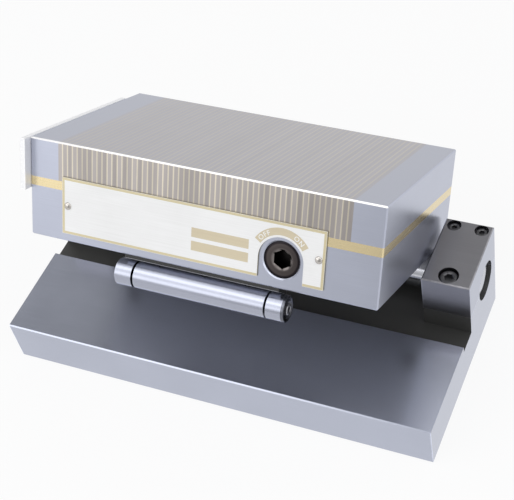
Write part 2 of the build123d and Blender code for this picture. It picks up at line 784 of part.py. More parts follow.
# Magnet carriage: a tray that slides along the pocket. Its thick front rail
# has the upright slot for the eccentric pin.
carriage_length = pocket_length - magnet_travel - 2 * carriage_end_gap
carriage_x = -magnet_travel / 2
carriage_front = journal_end + carriage_side_gap
carriage_rear = pocket_front + pocket_width - carriage_side_gap
carriage_base = pocket_base + slide_strip_thickness + seat_gap
carriage_top = plate_base - carriage_gap
carriage_rail = eccentric_reach + carriage_side_gap + rail_web
stack_front = carriage_front + carriage_rail
stack_rear = carriage_rear - carriage_wall
stack_base = carriage_base + carriage_plate
stack_length = carriage_length - 2 * carriage_wall
bar_thickness = (stack_length - magnet_count * magnet_thickness) / (magnet_count + 1)
slot_half = eccentric_radius + slot_play
with BuildPart() as magnet_carriage:
    with BuildSketch(level(carriage_base)):
        with Locations((carriage_x, (carriage_front + carriage_rear) / 2)):
            Rectangle(carriage_length, carriage_rear - carriage_front)
    extrude(amount=carriage_top - carriage_base)
    with BuildSketch(level(stack_base)):
        with Locations((carriage_x, (stack_front + stack_rear) / 2)):
            Rectangle(stack_length, stack_rear - stack_front)
    extrude(amount=carriage_top - stack_base, mode=Mode.SUBTRACT)
    with BuildSketch(facing_front(carriage_front)):
        with Locations((key_offset - eccentric_throw, key_level + eccentric_throw / 2)):
            SlotCenterToCenter(
                eccentric_throw + 2 * slot_play, 2 * slot_half, rotation=90
            )
    extrude(amount=-eccentric_reach - carriage_side_gap, mode=Mode.SUBTRACT)
magnet_carriage.part.label = "magnet_carriage"
export_step(magnet_carriage.part, "parts/magnet_carriage.step")


def carriage_stack(first_centre, thickness, count):
    """Bars across the carriage, one magnet pitch apart."""
    pitch = magnet_thickness + bar_thickness
    middle = (stack_front + stack_rear) / 2
    with BuildPart() as stack:
        with BuildSketch(level(stack_base)):
            with Locations(*[(first_centre + index * pitch, middle) for index in range(count)]):
                Rectangle(thickness, stack_rear - stack_front)
        extrude(amount=carriage_top - stack_base)
    return stack


# Magnets and pole bars: ceramic magnets between steel bars, filling the tray.
first_bar = carriage_x - (stack_length - bar_thickness) / 2
pole_bars = carriage_stack(first_bar, bar_thickness, magnet_count + 1)
pole_bars.part.label = "pole_bars"
export_step(pole_bars.part, "parts/pole_bars.step")

first_magnet = first_bar + (bar_thickness + magnet_thickness) / 2
magnets = carriage_stack(first_magnet, magnet_thickness, magnet_count)
magnets.part.label = "magnets"
export_step(magnets.part, "parts/magnets.step")
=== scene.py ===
import json
from math import cos, pi, radians, sin

import bmesh
import bpy
import numpy as np
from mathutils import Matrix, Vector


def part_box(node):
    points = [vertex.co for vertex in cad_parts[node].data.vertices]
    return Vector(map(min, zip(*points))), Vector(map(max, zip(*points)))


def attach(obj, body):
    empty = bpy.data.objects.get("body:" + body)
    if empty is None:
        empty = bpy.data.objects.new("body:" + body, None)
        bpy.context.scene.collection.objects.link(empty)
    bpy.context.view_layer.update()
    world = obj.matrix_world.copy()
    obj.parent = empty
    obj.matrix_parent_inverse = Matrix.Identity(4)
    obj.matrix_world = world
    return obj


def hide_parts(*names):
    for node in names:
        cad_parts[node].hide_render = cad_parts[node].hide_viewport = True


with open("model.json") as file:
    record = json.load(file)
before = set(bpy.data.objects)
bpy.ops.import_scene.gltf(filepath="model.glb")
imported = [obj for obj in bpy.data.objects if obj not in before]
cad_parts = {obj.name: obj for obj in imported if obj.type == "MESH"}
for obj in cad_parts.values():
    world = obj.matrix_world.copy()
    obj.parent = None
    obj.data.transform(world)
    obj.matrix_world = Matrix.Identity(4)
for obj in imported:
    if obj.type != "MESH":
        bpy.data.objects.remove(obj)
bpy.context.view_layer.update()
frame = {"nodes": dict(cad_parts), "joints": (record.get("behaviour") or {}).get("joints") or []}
nodes = frame["nodes"]
joints = {joint["name"]: joint for joint in frame["joints"]}

# Studio: a camera to the right of the chuck and above it, a pale floor, two
# broad soft lamps, and a sky that is white low down, grey higher and bright
# overhead, with a window to the left and a dim room behind the camera.
camera_place = (0.23397, -0.34168, 0.51162)
camera_turn = (38.403, 7.641, 21.814)
camera_sensor = 36.0
camera_lens = 88.21
camera_shift = (-0.0786, 0.1286)
sky_strength = 2.0
sky_steps = (
    (0.0, 0.5), (0.59, 0.49), (0.69, 0.22), (0.72, 0.15), (0.82, 0.12), (0.855, 0.78), (1.0, 0.84)
)
soft_colour = (0.97, 0.98, 1.0)
soft_strength = 0.62
room_side = (0.0, -0.995, 0.1)
room_edge = 0.86
room_middle = 0.98
room_dim = 0.43
window_side = (-0.85, -0.52, 0.1)
window_edge = 0.55
window_middle = 0.98
window_gain = 1.22
floor_reach = 3.0
floor_glow = 0.88

camera_data = bpy.data.cameras.new("camera")
camera_data.sensor_width = camera_sensor
camera_data.lens = camera_lens
camera_data.shift_x, camera_data.shift_y = camera_shift
camera_data.clip_start = 0.01
camera = bpy.data.objects.new("camera", camera_data)
camera.location = camera_place
camera.rotation_euler = [radians(angle) for angle in camera_turn]
bpy.context.scene.collection.objects.link(camera)
bpy.context.scene.camera = camera
bpy.context.scene.view_settings.view_transform = "Standard"


def wire(tree, kind, inputs=None, **settings):
    """A node with its settings, and with each input set to a value or linked to a socket."""
    node = tree.nodes.new(kind)
    for key, value in settings.items():
        setattr(node, key, value)
    for key, value in (inputs or {}).items():
        if isinstance(value, bpy.types.NodeSocket):
            tree.links.new(value, node.inputs[key])
        else:
            node.inputs[key].default_value = value
    return node


def math_node(tree, operation, *values):
    """The result of one sum on values or sockets."""
    return wire(tree, "ShaderNodeMath", dict(enumerate(values)), operation=operation).outputs[0]


def spread(tree, value, low, high, first, last):
    """A value taken from the range low to high into the range first to last, and held there."""
    return wire(tree, "ShaderNodeMapRange", {0: value, 1: low, 2: high, 3: first, 4: last}).outputs[0]


def seen_directly(tree):
    """1 for rays from the camera, from gloss and through glass, else 0."""
    path = wire(tree, "ShaderNodeLightPath")
    either = math_node(tree, "MAXIMUM", path.outputs["Is Camera Ray"], path.outputs["Is Glossy Ray"])
    return math_node(tree, "MAXIMUM", either, path.outputs["Is Transmission Ray"])


def sky():
    """Grey steps by height for what gloss mirrors; plain pale light elsewhere."""
    world = bpy.data.worlds.new("studio")
    world.use_nodes = True
    tree = world.node_tree
    tree.nodes.clear()
    direction = wire(tree, "ShaderNodeTexCoord").outputs["Generated"]
    height = wire(tree, "ShaderNodeSeparateXYZ", {0: direction}).outputs["Z"]
    ramp = wire(tree, "ShaderNodeValToRGB", {0: height})
    ramp.color_ramp.elements.remove(ramp.color_ramp.elements[0])
    for index, (place, grey) in enumerate(sky_steps):
        step = ramp.color_ramp.elements[0] if index == 0 else ramp.color_ramp.elements.new(place)
        step.position = place
        step.color = (grey, grey, grey, 1.0)
    toward_room = wire(
        tree, "ShaderNodeVectorMath", {0: direction, 1: room_side}, operation="DOT_PRODUCT"
    )
    dim = spread(tree, toward_room.outputs["Value"], room_edge, room_middle, 1.0, room_dim)
    toward_window = wire(
        tree, "ShaderNodeVectorMath", {0: direction, 1: window_side}, operation="DOT_PRODUCT"
    )
    gain = spread(tree, toward_window.outputs["Value"], window_edge, window_middle, 1.0, window_gain)
    strength = math_node(tree, "MULTIPLY", math_node(tree, "MULTIPLY", dim, gain), sky_strength)
    seen = wire(tree, "ShaderNodeBackground", {"Color": ramp.outputs[0], "Strength": strength})
    soft = wire(tree, "ShaderNodeBackground", {"Color": (*soft_colour, 1.0), "Strength": soft_strength})
    direct = seen_directly(tree)
    mix = wire(tree, "ShaderNodeMixShader", {0: direct, 1: soft.outputs[0], 2: seen.outputs[0]})
    wire(tree, "ShaderNodeOutputWorld", {0: mix.outputs[0]})
    bpy.context.scene.world = world


def lamp(name, place, target, size, power):
    """A square soft lamp that faces a point."""
    data = bpy.data.lights.new(name, "AREA")
    data.size = size
    data.energy = power
    light = bpy.data.objects.new(name, data)
    light.location = place
    aim = Vector(target) - Vector(place)
    light.rotation_euler = aim.to_track_quat("-Z", "Y").to_euler()
    bpy.context.scene.collection.objects.link(light)


def floor():
    """A flat pale floor that looks white and takes a faint shadow."""
    mesh = bpy.data.meshes.new("floor")
    corners = np.array([(-1, -1, 0), (1, -1, 0), (1, 1, 0), (-1, 1, 0)]) * floor_reach
    mesh.from_pydata(corners.tolist(), [], [(0, 1, 2, 3)])
    ground = bpy.data.objects.new("floor", mesh)
    bpy.context.scene.collection.objects.link(ground)
    material = bpy.data.materials.new("floor_paint")
    material.use_nodes = True
    tree = material.node_tree
    tree.nodes.clear()
    paint = wire(tree, "ShaderNodeBsdfDiffuse", {"Color": (0.88, 0.88, 0.885, 1.0)})
    glow = wire(tree, "ShaderNodeEmission", {"Color": (1, 1, 1, 1), "Strength": 1.0})
    share = math_node(tree, "MULTIPLY", seen_directly(tree), floor_glow)
    mix = wire(tree, "ShaderNodeMixShader", {0: share, 1: paint.outputs[0], 2: glow.outputs[0]})
    wire(tree, "ShaderNodeOutputMaterial", {0: mix.outputs[0]})
    mesh.materials.append(material)


sky()
floor()
lamp("lamp_left", (-0.55, -0.55, 0.85), (0, 0, 0.05), 1.1, 4.4)
lamp("lamp_right", (0.75, -0.15, 0.75), (0, 0, 0.05), 0.9, 2.3)

# Base plate: one thick steel plate, surface ground outside, with a polished
# front land for the gauge blocks. The floor behind the land and the faces of
# the two risers keep their black oxide.
mm = 0.001
ground_colour = (0.465, 0.49, 0.58)
patch_scale = 34.0
dark_lines = 0.86
light_lines = 1.13
worn_edges = 1.6
wear_scale = 420.0
wear_least = 0.35
wear_most = 1.15
wear_share = 0.75
end_facing = 0.7
land_rear = -0.9 * mm
floor_level = 21.9 * mm
oxide_colour = (0.058, 0.058, 0.056)
oxide_roughness = 0.45
metal_loss = 0.6
base_reach = 113.5 * mm
base_back = 51.5 * mm
mask_margin = 0.08 * mm
wear_width = 0.9 * mm


def new_group(name, inputs, outputs):
    """An empty shader node group with named inputs and outputs."""
    group = bpy.data.node_groups.new(name, "ShaderNodeTree")
    for label, kind, value in inputs:
        socket = group.interface.new_socket(name=label, in_out="INPUT", socket_type=kind)
        if value is not None:
            socket.default_value = value
    for label, kind in outputs:
        group.interface.new_socket(name=label, in_out="OUTPUT", socket_type=kind)
    return group, group.nodes.new("NodeGroupInput"), group.nodes.new("NodeGroupOutput")


def build_grinding():
    """Ground steel: noise drawn out along X, or across it on end faces, over slow patches."""
    group, given, result = new_group(
        "surface_grinding",
        [
            ("Vector", "NodeSocketVector", None),
            ("End Face", "NodeSocketFloat", 0.0),
            ("Line Length", "NodeSocketFloat", 0.03),
            ("Line Width", "NodeSocketFloat", 0.0002),
            ("Relief", "NodeSocketFloat", 0.1),
            ("Roughness", "NodeSocketFloat", 0.3),
            ("Roughness Spread", "NodeSocketFloat", 0.1),
        ],
        [
            ("Tone", "NodeSocketFloat"),
            ("Roughness", "NodeSocketFloat"),
            ("Normal", "NodeSocketVector"),
        ],
    )
    slow = math_node(group, "DIVIDE", 1.0, given.outputs["Line Length"])
    quick = math_node(group, "DIVIDE", 1.0, given.outputs["Line Width"])
    change = math_node(group, "SUBTRACT", quick, slow)
    along_x = math_node(group, "MULTIPLY_ADD", change, given.outputs["End Face"], slow)
    other = math_node(group, "SUBTRACT", 1.0, given.outputs["End Face"])
    along_y = math_node(group, "MULTIPLY_ADD", change, other, slow)
    scale = wire(group, "ShaderNodeCombineXYZ", {0: along_x, 1: along_y, 2: quick}).outputs[0]
    drawn = wire(
        group, "ShaderNodeVectorMath", {0: given.outputs["Vector"], 1: scale}, operation="MULTIPLY"
    ).outputs[0]
    lines = wire(group, "ShaderNodeTexNoise", {"Vector": drawn, "Scale": 1.0, "Detail": 2.0}).outputs[0]
    patches = wire(
        group,
        "ShaderNodeTexNoise",
        {"Vector": given.outputs["Vector"], "Scale": patch_scale, "Detail": 5.0},
    ).outputs[0]
    tone = math_node(group, "MULTIPLY", math_node(group, "ADD", lines, patches), 0.5)
    swing = math_node(group, "SUBTRACT", tone, 0.5)
    rough = math_node(
        group, "MULTIPLY_ADD", swing, given.outputs["Roughness Spread"], given.outputs["Roughness"]
    )
    bump = wire(
        group,
        "ShaderNodeBump",
        {"Height": lines, "Strength": given.outputs["Relief"], "Distance": 0.00001},
    )
    for label, socket in (("Tone", tone), ("Roughness", rough), ("Normal", bump.outputs[0])):
        group.links.new(socket, result.inputs[label])
    return group


def build_edge_wear():
    """1 near a block's edges: the second least of the three distances to its faces, made uneven."""
    group, given, result = new_group(
        "edge_wear",
        [
            ("Vector", "NodeSocketVector", None),
            ("Middle", "NodeSocketVector", None),
            ("Half Size", "NodeSocketVector", None),
            ("Width", "NodeSocketFloat", wear_width),
        ],
        [("Edge", "NodeSocketFloat")],
    )
    offset = wire(
        group, "ShaderNodeVectorMath", {0: given.outputs["Vector"], 1: given.outputs["Middle"]},
        operation="SUBTRACT",
    ).outputs[0]
    reach = wire(group, "ShaderNodeVectorMath", {0: offset}, operation="ABSOLUTE").outputs[0]
    depth = wire(
        group, "ShaderNodeVectorMath", {0: given.outputs["Half Size"], 1: reach}, operation="SUBTRACT"
    ).outputs[0]
    a, b, c = wire(group, "ShaderNodeSeparateXYZ", {0: depth}).outputs
    least = math_node(group, "MINIMUM", a, b)
    rest = math_node(group, "MINIMUM", math_node(group, "MAXIMUM", a, b), c)
    second = math_node(group, "MAXIMUM", least, rest)
    rough = wire(
        group, "ShaderNodeTexNoise", {"Vector": given.outputs["Vector"], "Scale": wear_scale}
    ).outputs[0]
    width = spread(group, rough, 0.3, 0.7, wear_least, wear_most)
    uneven = math_node(group, "MULTIPLY", given.outputs["Width"], width)
    edge = wire(
        group, "ShaderNodeMapRange", {0: second, 1: 0.0, 2: uneven, 3: 1.0, 4: 0.0},
        interpolation_type="SMOOTHSTEP",
    ).outputs[0]
    group.links.new(edge, result.inputs["Edge"])
    return group


grinding = build_grinding()
edge_wear = build_edge_wear()


def start_material(name):
    """An empty material with its shader and output."""
    material = bpy.data.materials.new(name)
    material.use_nodes = True
    tree = material.node_tree
    tree.nodes.clear()
    shader = wire(tree, "ShaderNodeBsdfPrincipled")
    wire(tree, "ShaderNodeOutputMaterial", {0: shader.outputs[0]})
    return material, tree, shader


def blend_colours(tree, mask, first, second):
    """The first colour where the mask is 0 and the second where it is 1."""
    mix = wire(tree, "ShaderNodeMix", {0: mask}, data_type="RGBA")
    for socket, colour in ((mix.inputs[6], first), (mix.inputs[7], second)):
        if isinstance(colour, bpy.types.NodeSocket):
            tree.links.new(colour, socket)
        else:
            socket.default_value = (*colour, 1.0)
    return mix.outputs[2]


def own_place(tree, tilted):
    """Object coordinates, for a tilted piece turned into the chuck's own directions."""
    place = wire(tree, "ShaderNodeTexCoord").outputs["Object"]
    if not tilted:
        return place
    turned_hinge = (0.0, hinge @ chuck_back, hinge @ chuck_up)
    return wire(
        tree,
        "ShaderNodeMapping",
        {"Vector": place, "Rotation": (tilt, 0.0, 0.0), "Location": [-part for part in turned_hinge]},
    ).outputs[0]


def end_face(tree):
    """1 on faces that look along X."""
    normal = wire(tree, "ShaderNodeTexCoord").outputs["Normal"]
    x = wire(tree, "ShaderNodeSeparateXYZ", {0: normal}).outputs[0]
    return math_node(tree, "GREATER_THAN", math_node(tree, "ABSOLUTE", x), end_facing)


def steel(
    name, colour, roughness, tilted=False, relief=0.1, swing=0.1, length=0.03, width=0.0002, box=None
):
    """Ground or turned steel: fine lines, slow patches, a varied gloss and brighter edges."""
    material, tree, shader = start_material(name)
    place = own_place(tree, tilted)
    grain = wire(tree, "ShaderNodeGroup", node_tree=grinding)
    tree.links.new(place, grain.inputs["Vector"])
    tree.links.new(end_face(tree), grain.inputs["End Face"])
    grain.inputs["Line Length"].default_value = length
    grain.inputs["Line Width"].default_value = width
    grain.inputs["Relief"].default_value = relief
    grain.inputs["Roughness"].default_value = roughness
    grain.inputs["Roughness Spread"].default_value = swing
    dark = [channel * dark_lines for channel in colour]
    light = [min(1.0, channel * light_lines) for channel in colour]
    tone = blend_colours(tree, grain.outputs["Tone"], dark, light)
    if box is not None:
        low, high = (np.array(corner) for corner in box)
        wear = wire(tree, "ShaderNodeGroup", node_tree=edge_wear)
        tree.links.new(place, wear.inputs["Vector"])
        wear.inputs["Middle"].default_value = (low + high) / 2
        wear.inputs["Half Size"].default_value = (high - low) / 2
        wear.inputs["Width"].default_value = wear_width
        bright = [min(1.0, channel * worn_edges) for channel in colour]
        share = math_node(tree, "MULTIPLY", wear.outputs["Edge"], wear_share)
        tone = blend_colours(tree, share, tone, bright)
    tree.links.new(tone, shader.inputs["Base Color"])
    tree.links.new(grain.outputs["Roughness"], shader.inputs["Roughness"])
    tree.links.new(grain.outputs["Normal"], shader.inputs["Normal"])
    shader.inputs["Metallic"].default_value = 1.0
    return material, tree, shader, place


def repaint(tree, shader, mask, colour):
    """Another colour over a shader's own where the mask is 1."""
    tone = shader.inputs["Base Color"].links[0].from_socket
    tree.links.new(blend_colours(tree, mask, tone, colour), shader.inputs["Base Color"])


def dull_area(tree, shader, mask, colour, roughness):
    """A duller colour over a steel's own, rougher and less metallic, where the mask is 1."""
    own_roughness = shader.inputs["Roughness"].links[0].from_socket
    repaint(tree, shader, mask, colour)
    tree.links.new(math_node(tree, "MULTIPLY_ADD", mask, -metal_loss, 1.0), shader.inputs["Metallic"])
    dull = math_node(tree, "MAXIMUM", own_roughness, math_node(tree, "MULTIPLY", mask, roughness))
    tree.links.new(dull, shader.inputs["Roughness"])


def dress(node, material):
    """A CAD node keeps its mesh and takes a material."""
    piece = nodes[node]
    piece.data.materials.clear()
    piece.data.materials.append(material)


def base_finish():
    """Ground steel outside, black oxide where the floor and risers lie inside the outline."""
    material, tree, shader, place = steel(
        "base_ground", ground_colour, 0.24, relief=0.06, box=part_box("base_plate")
    )
    x, y, z = wire(tree, "ShaderNodeSeparateXYZ", {0: place}).outputs
    inside = math_node(tree, "LESS_THAN", math_node(tree, "ABSOLUTE", x), base_reach - mask_margin)
    behind = math_node(tree, "GREATER_THAN", y, land_rear - mask_margin)
    before = math_node(tree, "LESS_THAN", y, base_back - mask_margin)
    above = math_node(tree, "GREATER_THAN", z, floor_level - mask_margin)
    across = math_node(tree, "MULTIPLY", inside, behind)
    black = math_node(tree, "MULTIPLY", across, math_node(tree, "MULTIPLY", before, above))
    dull_area(tree, shader, black, oxide_colour, oxide_roughness)
    return material


dress("base_plate", base_finish())

# Clamp caps: two steel blocks with their edges broken, one over each end of
# the hinge shaft and screwed down on its riser. They are dark grey, and their
# outer ends are ground bright together with the base.
cap_colour = (0.275, 0.272, 0.29)


def cap_finish(cap):
    """Dark grey steel with a bright ground outer end."""
    material, tree, shader, place = steel(
        cap + "_ground", cap_colour, 0.3, relief=0.12, box=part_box(cap)
    )
    x = wire(tree, "ShaderNodeSeparateXYZ", {0: place}).outputs[0]
    outer = math_node(tree, "GREATER_THAN", math_node(tree, "ABSOLUTE", x), base_reach - mask_margin)
    repaint(tree, shader, outer, ground_colour)
    return material


for cap in ("clamp_cap_left", "clamp_cap_right"):
    dress(cap, cap_finish(cap))

# Cap screws: black oxide socket head screws, sunk in counterbores. The larger
# pair clamps the hinge shaft. The heads are knurled, with a chamfered socket.
ring_points = 72
angles = np.arange(ring_points) * 2 * pi / ring_points
small_screw = {"thread": 1.45 * mm, "head": 2.75 * mm, "height": 3.0 * mm, "flats": 2.5 * mm}
medium_screw = {"thread": 2.45 * mm, "head": 4.25 * mm, "height": 5.0 * mm, "flats": 4.0 * mm}
knurl_share = 0.035
rounding_share = 0.14
chamfer_share = 0.06
socket_share = 0.5
mouth_share = 0.64
tip_share = 0.7
cap_rear_spacing = 13.7 * mm
right = np.array((1.0, 0.0, 0.0))
world_up = np.array((0.0, 0.0, 1.0))


def hexagon(flats, phase=0.0):
    """Ring radius of a hexagon: half the flats over cos(angle from the nearest flat's middle)."""
    return flats / 2 / np.cos((angles + phase) % (pi / 3) - pi / 6)


def ring_skin(base, outward, across, heights, radii, shifts=None):
    """Skin of rings on an axis.

    Point (i, j) = base + h_i outward + s_i across + r_ij (cos a_j across + sin a_j (outward x across)).
    """
    beyond = np.cross(outward, across)
    circle = np.cos(angles)[:, None] * across + np.sin(angles)[:, None] * beyond
    heights = np.asarray(heights)
    shifts = np.zeros(len(heights)) if shifts is None else np.asarray(shifts)
    rings = np.stack([np.broadcast_to(radius, angles.shape) for radius in radii])
    middles = base + heights[:, None] * outward + shifts[:, None] * across
    return middles[:, None, :] + rings[:, :, None] * circle


def outward_faces(points, quads, faces):
    """The faces, turned round if the quads' volume, the sum of a.(b x c) + a.(c x d), is negative."""
    a, b, c, d = (points[quads[:, corner]] - points.mean(0) for corner in range(4))
    volume = (a * np.cross(b, c)).sum() + (a * np.cross(c, d)).sum()
    return faces if volume > 0 else [face[::-1] for face in faces]


def closed_skin(points):
    """Rings joined in order and closed at both ends round a pole, with faces outwards."""
    rings, around, _ = points.shape
    vertices = np.concatenate([points.reshape(-1, 3), points[:1].mean(1), points[-1:].mean(1)])
    row = np.arange(rings - 1)[:, None] * around
    here = np.arange(around)
    after = (here + 1) % around
    quads = np.stack([row + here, row + after, row + around + after, row + around + here], -1)
    last = (rings - 1) * around
    first_fan = np.stack([np.full(around, rings * around), after, here], -1)
    last_fan = np.stack([np.full(around, rings * around + 1), last + here, last + after], -1)
    faces = quads.reshape(-1, 4).tolist() + first_fan.tolist() + last_fan.tolist()
    return vertices, outward_faces(vertices, quads.reshape(-1, 4), faces)


def make_piece(name, skins, material, body, stands_for=(), crease=30):
    """One object of several skins, smooth within an angle, that rides on a body."""
    vertices, faces, start = [], [], 0
    for points, skin_faces in skins:
        vertices.append(points)
        faces += [[start + index for index in face] for face in skin_faces]
        start += len(points)
    mesh = bpy.data.meshes.new(name)
    mesh.from_pydata(np.concatenate(vertices).tolist(), [], faces)
    return finish_piece(name, mesh, material, body, stands_for, crease)


def finish_piece(name, mesh, material, body, stands_for, crease):
    """Smooth shading with creases, a material, a parent on its body, and the nodes it stands for hidden.
    """
    mesh.shade_smooth()
    mesh.set_sharp_from_angle(angle=radians(crease))
    mesh.materials.append(material)
    piece = bpy.data.objects.new(name, mesh)
    bpy.context.scene.collection.objects.link(piece)
    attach(piece, body)
    if stands_for:
        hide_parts(*stands_for)
    return piece


def socket_screw(seat, outward, across, length, thread, head, height, flats):
    """A socket head screw: hexagon, countersink, rounded rim, straight knurl and a plain shank."""
    knurl = knurl_share * head * (np.arange(ring_points) % 2)
    rim = rounding_share * head
    floor_height = height * socket_share
    mouth_height = height - chamfer_share * head
    turn = np.linspace(0, pi / 2, 5)
    heights = [floor_height, mouth_height, height, *(height - rim + rim * np.cos(turn))]
    radii = [hexagon(flats), hexagon(flats), flats * mouth_share, *(head - rim + rim * np.sin(turn))]
    heights += [height - 1.3 * rim, 0.35 * rim, 0.0, 0.0, thread * 0.4 - length, -length]
    radii += [head - knurl, head - knurl, head - 0.35 * rim, thread, thread, thread * tip_share]
    return closed_skin(ring_skin(seat, outward, across, heights, radii))


screw_black = steel("screw_black", (0.10, 0.10, 0.105), 0.33, relief=0.2, length=0.002)[0]


def cap_screws(node, screw, places):
    """Upright screws at points along X, in the box of their node."""
    low, high = (np.array(corner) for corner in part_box(node))
    seat_level = high[2] - screw["height"]
    skins = [
        socket_screw(
            np.array((x, (low[1] + high[1]) / 2, seat_level)),
            world_up,
            right,
            seat_level - low[2],
            **screw,
        )
        for x in places(low[0] + screw["head"], high[0] - screw["head"])
    ]
    make_piece(node + "_knurled", skins, screw_black, "base", [node])


cap_screws("cap_screws_front", medium_screw, lambda first, last: (first, last))
cap_screws(
    "cap_screws_rear",
    small_screw,
    lambda first, last: (first, first + cap_rear_spacing, last - cap_rear_spacing, last),
)

# Hinge shaft: a hardened ground bar, 20 mm across, that runs from cap to cap
# with a centre hole in each end.
round_tolerance = 0.05 * mm
round_facing = 0.95
merge_distance = 0.002 * mm


def round_normals(mesh, middle, radius):
    """Normals straight out from an axis along X on faces that belong to the round surface.

    Where a corner p lies at the radius and its face looks along its radial direction
    r = (p - m) / |p - m|, taken across X, the normal is r; elsewhere it stays.
    """
    places = np.empty(len(mesh.vertices) * 3)
    mesh.vertices.foreach_get("co", places)
    corner_vertex = np.empty(len(mesh.loops), dtype=int)
    mesh.loops.foreach_get("vertex_index", corner_vertex)
    normals = np.empty(len(mesh.loops) * 3)
    mesh.corner_normals.foreach_get("vector", normals)
    face_normals = np.empty(len(mesh.polygons) * 3)
    mesh.polygons.foreach_get("normal", face_normals)
    sides = np.empty(len(mesh.polygons), dtype=int)
    mesh.polygons.foreach_get("loop_total", sides)
    offset = (places.reshape(-1, 3) - middle)[corner_vertex] * (0.0, 1.0, 1.0)
    reach = np.linalg.norm(offset, axis=1)
    radial = offset / np.maximum(reach, radius / 2)[:, None]
    facing = (np.repeat(face_normals.reshape(-1, 3), sides, axis=0) * radial).sum(1)
    on_round = (np.abs(reach - radius) < round_tolerance) & (facing > round_facing)
    chosen = np.where(on_round[:, None], radial, normals.reshape(-1, 3))
    mesh.normals_split_custom_set(chosen.tolist())


def smooth_copy(node, material, body, turned=True, crease=32):
    """A copy of a CAD node with its corners merged, shaded smooth between its creases."""
    shape = bmesh.new()
    shape.from_mesh(nodes[node].data)
    bmesh.ops.remove_doubles(shape, verts=shape.verts, dist=merge_distance)
    mesh = bpy.data.meshes.new(node + "_turned")
    shape.to_mesh(mesh)
    shape.free()
    mesh.materials.clear()
    piece = finish_piece(node + "_turned", mesh, material, body, [node], crease)
    if turned:
        low, high = (np.array(corner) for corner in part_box(node))
        round_normals(mesh, (low + high) / 2, (high[2] - low[2]) / 2)
    return piece


shaft_steel = steel(
    "shaft_ground", (0.60, 0.61, 0.66), 0.16, relief=0.012, swing=0.08, length=0.0003, width=0.01
)[0]
smooth_copy("hinge_shaft", shaft_steel, "chuck")

# Hinge saddle and sine saddle: black oxide bars with a hollow seat, screwed
# up under the chuck body with the shaft and the roller. The slope in front of
# the roller is ground bright.
bar_colour = (0.05, 0.05, 0.05)
bar_metallic = 0.6
lip_slope = radians(26)
lip_reach = 6.4 * mm
lip_colour = (0.62, 0.63, 0.68)
hinge = np.array(joints["chuck_tilt"]["pos_m"])
chuck_up = np.array(joints["stop_slide"]["axis"])
chuck_back = np.cross(chuck_up, right)
tilt = float(np.arctan2(chuck_up[1], chuck_up[2]))


def local_box(node):
    """A node's lowest and highest corner in the chuck's own directions, from the hinge axis."""
    mesh = nodes[node].data
    points = np.empty(len(mesh.vertices) * 3)
    mesh.vertices.foreach_get("co", points)
    places = (points.reshape(-1, 3) - hinge) @ np.stack([right, chuck_back, chuck_up], 1)
    return places.min(0), places.max(0)


def in_chuck(x, back, up):
    """The place of a point given in the chuck's own directions."""
    return hinge + x * right + back * chuck_back + up * chuck_up


def oxide_bar(name, box):
    """Black oxide steel with rubbed edges."""
    material, tree, shader, place = steel(name, bar_colour, 0.36, True, relief=0.12, box=box)
    shader.inputs["Metallic"].default_value = bar_metallic
    return material, tree, shader, place


def lip_finish():
    """Black oxide, with the sloped lip in front of the roller ground bright."""
    material, tree, shader, place = oxide_bar("sine_saddle_oxide", local_box("sine_saddle"))
    low, high = local_box("sine_roller")
    seat = (0.0, (low[1] + high[1]) / 2, (low[2] + high[2]) / 2)
    offset = wire(tree, "ShaderNodeVectorMath", {0: place, 1: seat}, operation="SUBTRACT").outputs[0]
    slope_normal = (0.0, sin(lip_slope), cos(lip_slope))
    reach = wire(
        tree, "ShaderNodeVectorMath", {0: offset, 1: slope_normal}, operation="DOT_PRODUCT"
    ).outputs["Value"]
    lip = math_node(tree, "LESS_THAN", reach, lip_reach + mask_margin)
    repaint(tree, shader, lip, lip_colour)
    return material


dress("hinge_saddle", oxide_bar("hinge_saddle_oxide", local_box("hinge_saddle"))[0])
dress("sine_saddle", lip_finish())

# Hinge shaft screws and top plate screws: socket head screws from below, in a
# row through the shaft and in two rows of three through the chuck body.
shaft_screw_count = 4


def chuck_screws(node, screw, columns, rows):
    """Screws that point up into the chuck, in a grid that fills their node's box."""
    low, high = local_box(node)
    head = screw["head"]
    seat = low[2] + screw["height"]
    grid = [
        (x, back)
        for x in np.linspace(low[0] + head, high[0] - head, columns)
        for back in np.linspace(low[1] + head, high[1] - head, rows)
    ]
    skins = [
        socket_screw(in_chuck(x, back, seat), -chuck_up, right, high[2] - seat, **screw)
        for x, back in grid
    ]
    make_piece(node + "_knurled", skins, screw_black, "chuck", [node])


chuck_screws("hinge_shaft_screws", medium_screw, shaft_screw_count, 1)
chuck_screws("top_plate_screws", medium_screw, 2, 3)

# Chuck body and end blocks: a steel box and the solid steel ends of the top
# plate, ground together along their length. The body's underside is rough
# ground and duller.
chuck_colour = (0.485, 0.51, 0.605)
# Painted reflection: a darker, flatter tone over the blocks' ground tops.
painted_top_reflection = (0.375, 0.388, 0.448)
# Painted highlight: the broken front top edge is coloured near white.
painted_rim_highlight = (0.97, 0.96, 0.95)
rim_highlight_width = 0.7 * mm
rim_highlight_share = 0.85
block_top_reflection_share = 0.75
underside_colour = (0.42, 0.42, 0.43)
underside_roughness = 0.5
pack_low, body_high = local_box("chuck_body")
pack_high = np.array((*body_high[:2], local_box("end_block_right")[1][2]))


